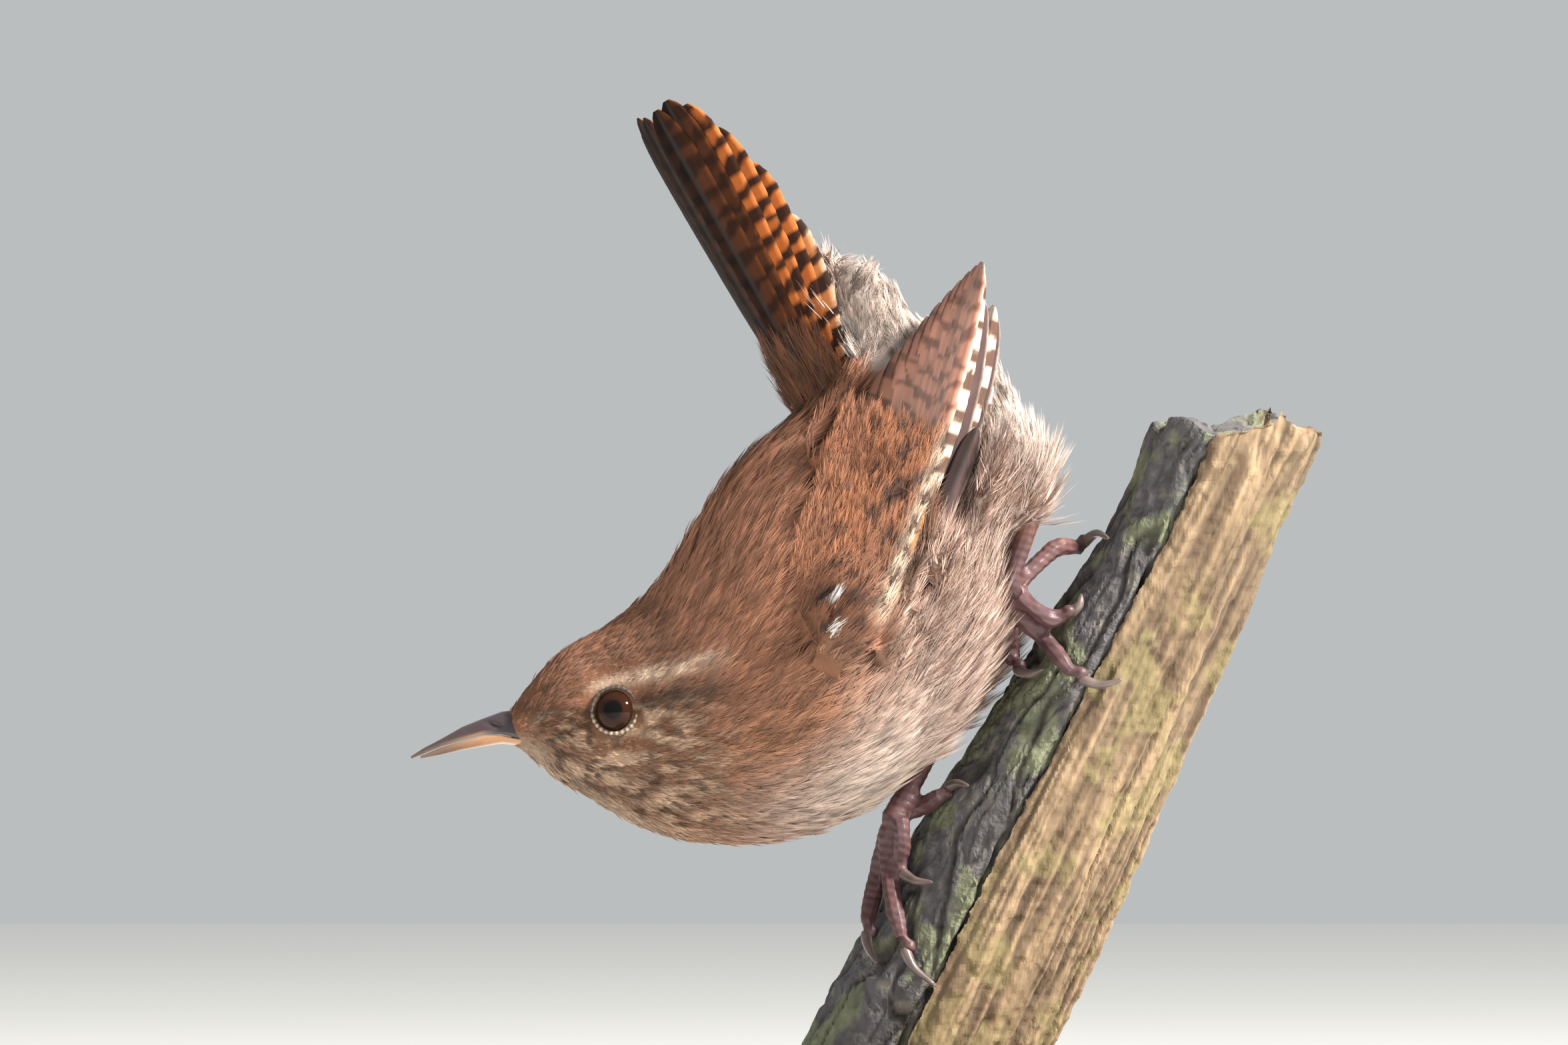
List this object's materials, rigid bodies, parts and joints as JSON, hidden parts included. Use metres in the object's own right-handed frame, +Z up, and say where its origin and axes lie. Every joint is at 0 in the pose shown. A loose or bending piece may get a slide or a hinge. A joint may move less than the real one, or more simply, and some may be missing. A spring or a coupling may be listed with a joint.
{
  "type": "wren",
  "caption": "Life-size wren with cocked tail clinging head-down to a broken branch that stands on a plain round base with short rods.",
  "frame": {"origin": "centre of the underside of the stand base", "axes": "+Z up; the head points to -X and the tail is cocked upward; -Y is the left side of the bird"},
  "size_m": [0.0917, 0.076, 0.1168],
  "materials": {
    "body_plumage": "soft barred feather coat",
    "pale_down": "loose pale feathers with dark bars",
    "wing_feather": "smooth barred vanes",
    "tail_feather": "smooth barred vanes",
    "eye": "wet gloss",
    "eyelid": "matt skin",
    "bill_upper": "horn, satin",
    "bill_lower": "horn, satin",
    "leg_scale": "scaled skin",
    "claw": "horn, satin",
    "bark": "rough cracked bark",
    "split_wood": "torn fibrous wood",
    "stand_wood": "turned, satin lacquer",
    "stand_metal": "fine brushed"
  },
  "bodies": {
    "root": {"head": "body_plumage", "neck": "body_plumage", "torso": "body_plumage", "undertail_coverts": "pale_down", "tail": "tail_feather", "wing_left_primaries": "wing_feather", "wing_left_secondaries": "wing_feather", "wing_left_coverts": "wing_feather", "eye_left": "eye", "lids_left": "eyelid", "thigh_left": "pale_down", "tarsus_left": "leg_scale", "toe_left_hallux": "leg_scale", "claw_left_hallux": "claw", "toe_left_outer": "leg_scale", "claw_left_outer": "claw", "toe_left_middle": "leg_scale", "claw_left_middle": "claw", "toe_left_inner": "leg_scale", "claw_left_inner": "claw", "wing_right_primaries": "wing_feather", "wing_right_secondaries": "wing_feather", "wing_right_coverts": "wing_feather", "eye_right": "eye", "lids_right": "eyelid", "thigh_right": "pale_down", "tarsus_right": "leg_scale", "toe_right_hallux": "leg_scale", "claw_right_hallux": "claw", "toe_right_outer": "leg_scale", "claw_right_outer": "claw", "toe_right_middle": "leg_scale", "claw_right_middle": "claw", "toe_right_inner": "leg_scale", "claw_right_inner": "claw", "bill_upper": "bill_upper", "bill_lower": "bill_lower", "perch_bark": "bark", "perch_wood": "split_wood", "stand_base": "stand_wood", "stand_rod_1": "stand_metal", "stand_rod_2": "stand_metal"}
  },
  "joints": []
}
